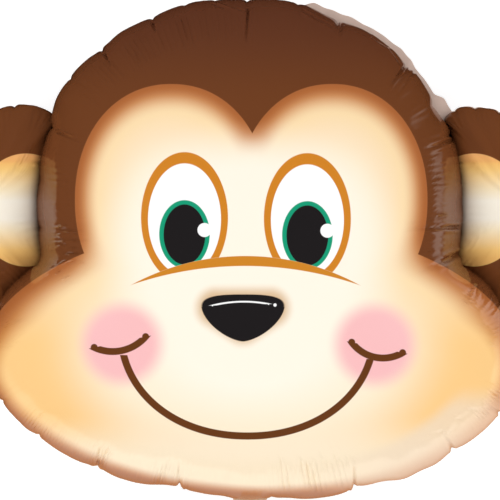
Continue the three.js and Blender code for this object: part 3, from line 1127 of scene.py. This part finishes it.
def foil(name, paint, crinkle):
    """Printed film: a colour worked out over the drawing, under a thin clear gloss."""
    material, tree, shader = new_material(name)
    x, y, z = (number / MM for number in coordinates(tree, "Object"))
    tree.links.new(paint(x, y - DRAWING_Y, z - SEAM_HEIGHT), shader.inputs["Base Color"])
    shader.inputs["Roughness"].default_value = FOIL_ROUGHNESS
    shader.inputs["Specular IOR Level"].default_value = FOIL_SPECULAR
    crinkled(tree, shader, crinkle)
    return material


def to_photo(x, y, z):
    """The pixel of the photograph that shows a place on the balloon."""
    size = (z / -VIEWING_DISTANCE + 1) * SEAM_PIXEL
    return x / size + PHOTO_MIDDLE, y / (size * -1) + PHOTO_MIDDLE


def border_film(x, y, _):
    """Brown, pale at the upper right where it lies flat as a painted reflection, gold below the ears
    and cream at the chin and tail.
    """
    # Painted reflection at the upper right
    colour = over(BROWN_TOP, BORDER_PAINTED_REFLECTION["colour"], area(x, y, BORDER_PAINTED_REFLECTION))
    colour = over(colour, BORDER_GOLD["colour"], fade(y, *BORDER_GOLD["down"]))
    cream = larger(fade(y, *TAIL_CREAM["down"]), area(x, y, BORDER_CREAM))
    return over(colour, TAIL_CREAM["colour"], cream)


def back_film(x, y, _):
    return over(BACK_BROWN, BROWN_TOP, fade(y, *BACK_FADE))


# The studio
FLOOR_SIZE = 12
FLOOR_WHITE = 0.92
FLOOR_BOUNCE = 0.95
FLOOR_GLOW = 0.45

# What the foil mirrors of the floor: bright in some directions from the balloon, as direction
# cosines, tan close to the balloon and dark far off
REFLECTED = (
    {"across": 0.97, "up": -0.24, "fade": (0.65, 0.95), "strength": 1.0},
    {"across": 0, "up": -1, "fade": (0.25, 0.7), "strength": 0.9},
)
REFLECTED_NEAR = {"size": (0.42, 0.35), "fade": (0.95, 1.5), "colour": (205, 150, 108)}
REFLECTED_FAR = (4, 2.5)
REFLECTED_COLOUR = (255, 244, 234)
WORLD_STRENGTH = {"horizon": 1.15, "zenith": 0.68, "fade": (0.1, 0.8)}

# Soft lights: name, place, what it faces, power. The foil doesn't mirror them.
FILL_SIZE = 1
FILLS = (
    ("left_fill", (-1.3, 0.1, 1.5), (-0.3, 0, 0.1), 6),
    ("right_fill", (1.3, 0.1, 1.5), (0.3, 0, 0.1), 6),
    ("back_fill", (-0.5, 1.3, 1.5), (-0.1, 0.2, 0.1), 1.5),
    ("front_fill", (0, -1.3, 1.5), (0, -0.2, 0.1), 3.5),
)
SENSOR_WIDTH = 36
PHOTO_WIDTH = 500 * SEAM_PIXEL
CLIP_END = 50


def grey(level):
    return (level, level, level, 1)


def floor():
    """A white floor, with a light of its own for the camera and another for the foil's gloss."""
    material, tree, shader = new_material("studio_floor")
    nodes, links = tree.nodes, tree.links
    path = nodes.new("ShaderNodeLightPath").outputs
    seen = Number(tree, path["Is Camera Ray"])
    tint = nodes.new("ShaderNodeMix")
    tint.data_type = "RGBA"
    whites = {MIX_UNDER: grey(FLOOR_BOUNCE), MIX_OVER: grey(FLOOR_WHITE)}
    wire(tree, tint, {"Factor": seen, **whites})
    wire(tree, shader, {"Roughness": 1, "Specular IOR Level": 0, "Emission Color": grey(1)})
    wire(tree, shader, {"Emission Strength": seen * FLOOR_GLOW, "Base Color": tint.outputs[MIX_RESULT]})
    x, y, _ = coordinates(tree, "Object")
    reach = (x * x + y * y) ** 0.5
    glows = []
    for side in REFLECTED:
        towards = (x * side["across"] + y * side["up"]) / larger(reach, NEAR_ZERO)
        glows.append(fade(towards, *side["fade"]) * side["strength"])
    away = fade(oval(x, y, (0, 0), REFLECTED_NEAR["size"]), *REFLECTED_NEAR["fade"])
    colour = over(REFLECTED_NEAR["colour"], REFLECTED_COLOUR, away)
    glow = larger(*glows) * fade(reach, *REFLECTED_FAR)
    mirror = wire(tree, nodes.new("ShaderNodeEmission"), {"Color": colour, "Strength": glow})
    shaders = {0: path["Is Glossy Ray"], 1: shader.outputs[0], 2: mirror.outputs[0]}
    mix = wire(tree, nodes.new("ShaderNodeMixShader"), shaders)
    links.new(mix.outputs[0], nodes["Material Output"].inputs["Surface"])
    mesh = bpy.data.meshes.new("floor")
    half = FLOOR_SIZE / 2
    corners = [(-half, -half, 0), (half, -half, 0), (half, half, 0), (-half, half, 0)]
    mesh.from_pydata(corners, [], [(0, 1, 2, 3)])
    mesh.materials.append(material)
    added("floor", mesh)


def softbox(name, place, target, power):
    """A soft square light that faces a target."""
    light = bpy.data.lights.new(name, "AREA")
    light.shape = "RECTANGLE"
    light.size = light.size_y = FILL_SIZE
    light.energy = power
    made = added(name, light)
    made.location = place
    made.rotation_euler = (Vector(target) - Vector(place)).to_track_quat("-Z", "Y").to_euler()
    made.visible_camera = False
    made.visible_glossy = False


def studio():
    """A white world, brighter at the horizon, and the soft lights."""
    world = bpy.data.worlds.new("studio")
    bpy.context.scene.world = world
    world.use_nodes = True
    tree = world.node_tree
    low, high = WORLD_STRENGTH["horizon"], WORLD_STRENGTH["zenith"]
    rising = fade(coordinates(tree, "Generated")[2], *WORLD_STRENGTH["fade"])
    strength = rising * (high - low) + low
    wire(tree, tree.nodes["Background"], {"Color": grey(1), "Strength": strength})
    world.cycles_visibility.glossy = False
    for fill in FILLS:
        softbox(*fill)


def camera():
    """Straight above the face, where the photograph was taken from."""
    data = bpy.data.cameras.new("camera")
    data.sensor_width = SENSOR_WIDTH
    data.lens = SENSOR_WIDTH * VIEWING_DISTANCE / PHOTO_WIDTH
    data.clip_end = CLIP_END
    made = added("camera", data)
    made.location = (0, DRAWING_Y * MM, (SEAM_HEIGHT + VIEWING_DISTANCE) * MM)
    bpy.context.scene.camera = made


camera()
studio()
floor()

foils = [
    foil("head_print", head_print, crinkle=0.15),
    foil("ear_print", ear_print, crinkle=0.3),
    foil("border_film", border_film, crinkle=0.5),
    foil("back_film", back_film, crinkle=0.4),
]
balloon = joined(head(foils), ear(foils, 1), ear(foils, -1), tail(foils))
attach(balloon, "root")
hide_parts("foil_envelope")

bpy.context.scene.view_settings.view_transform = "Standard"
bpy.context.scene.view_settings.look = "None"
